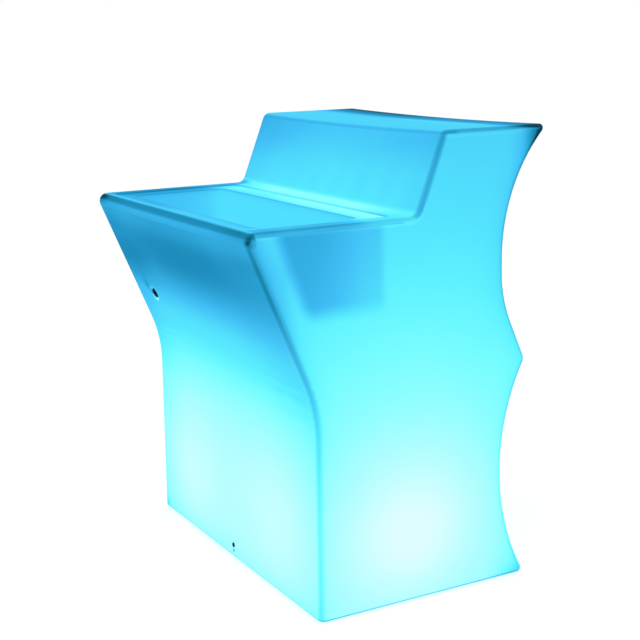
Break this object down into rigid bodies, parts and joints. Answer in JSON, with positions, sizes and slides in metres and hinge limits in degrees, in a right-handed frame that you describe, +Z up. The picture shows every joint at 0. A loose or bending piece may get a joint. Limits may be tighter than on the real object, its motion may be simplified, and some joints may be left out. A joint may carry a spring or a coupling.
{
  "type": "illuminated bar counter",
  "caption": "Illuminated hollow bar counter: raised guest shelf, work deck with a lift-out ice tub and drain, and lamps, battery and controls on a base plate.",
  "frame": {"origin": "middle of the counter's outer box at floor level, under the feet", "axes": "+X along the bar, to the right of someone who serves behind it; +Y from the staff side to the guest side; +Z up"},
  "size_m": [0.9546, 0.8229, 1.15],
  "materials": {
    "milky_shell": "satin, milky and translucent",
    "tub_plastic": "satin, milky",
    "white_fitting": "satin",
    "black_fitting": "satin",
    "seal_rubber": "matte",
    "stopper_rubber": "matte",
    "foot_rubber": "matte",
    "plate_aluminium": "brushed",
    "tray_aluminium": "satin",
    "screw_steel": "satin",
    "strap_steel": "satin",
    "cell_steel": "sleeved, satin",
    "contact_brass": "satin",
    "jack_plastic": "satin",
    "button_plastic": "gloss, milky",
    "box_plastic": "satin",
    "socket_plastic": "satin",
    "board_laminate": "lacquered",
    "receiver_laminate": "lacquered",
    "lamp_laminate": "lacquered",
    "end_laminate": "matte",
    "chip_phosphor": "satin",
    "dome_plastic": "frosted",
    "sleeve_film": "glossy film",
    "lead_jacket": "satin",
    "battery_jacket": "satin"
  },
  "bodies": {
    "counter": {"base_gasket": "seal_rubber", "base_plate": "plate_aluminium", "base_plate_screws": "screw_steel", "battery_cells": "cell_steel", "battery_cradle": "box_plastic", "battery_end_plates": "end_laminate", "battery_lead": "battery_jacket", "battery_sleeve": "sleeve_film", "battery_strap": "strap_steel", "body_shell": "milky_shell", "button_housing": "jack_plastic", "button_lead": "lead_jacket", "button_nut": "contact_brass", "charging_jack": "jack_plastic", "control_board": "board_laminate", "control_box": "box_plastic", "control_lid": "box_plastic", "control_lid_screws": "screw_steel", "control_sockets": "socket_plastic", "drain_elbow": "white_fitting", "drain_funnel": "white_fitting", "drain_outlet": "black_fitting", "fixing_screws": "screw_steel", "jack_contact": "contact_brass", "jack_lead": "lead_jacket", "jack_nut": "contact_brass", "lamp_board_left": "lamp_laminate", "lamp_board_right": "lamp_laminate", "lamp_chips_left": "chip_phosphor", "lamp_chips_right": "chip_phosphor", "lamp_dome_left": "dome_plastic", "lamp_dome_right": "dome_plastic", "lamp_lead_left": "lead_jacket", "lamp_lead_right": "lead_jacket", "lamp_screws": "screw_steel", "lamp_socket_left": "socket_plastic", "lamp_socket_right": "socket_plastic", "lamp_tray_left": "tray_aluminium", "lamp_tray_right": "tray_aluminium", "outlet_gasket": "seal_rubber", "outlet_nut": "black_fitting", "remote_receiver": "receiver_laminate", "rubber_feet": "foot_rubber"},
    "tub": {"ice_tub": "tub_plastic", "drain_body": "white_fitting", "drain_gasket": "seal_rubber", "drain_nut": "white_fitting"},
    "stopper": {"drain_stopper": "stopper_rubber"},
    "button": {"power_button": "button_plastic"}
  },
  "joints": [
    {"name": "ice_tub_lift", "type": "slide", "parent": "counter", "child": "tub", "axis": [0, 0, 1], "range_m": [0, 0.25]},
    {"name": "drain_stopper_lift", "type": "slide", "parent": "tub", "child": "stopper", "axis": [0, 0, 1], "range_m": [0, 0.12]},
    {"name": "power_button_press", "type": "slide", "parent": "counter", "child": "button", "axis": [0, 1, 0], "range_m": [0, 0.0012], "stiffness_N_per_m": 400, "springref_m": -0.002}
  ]
}
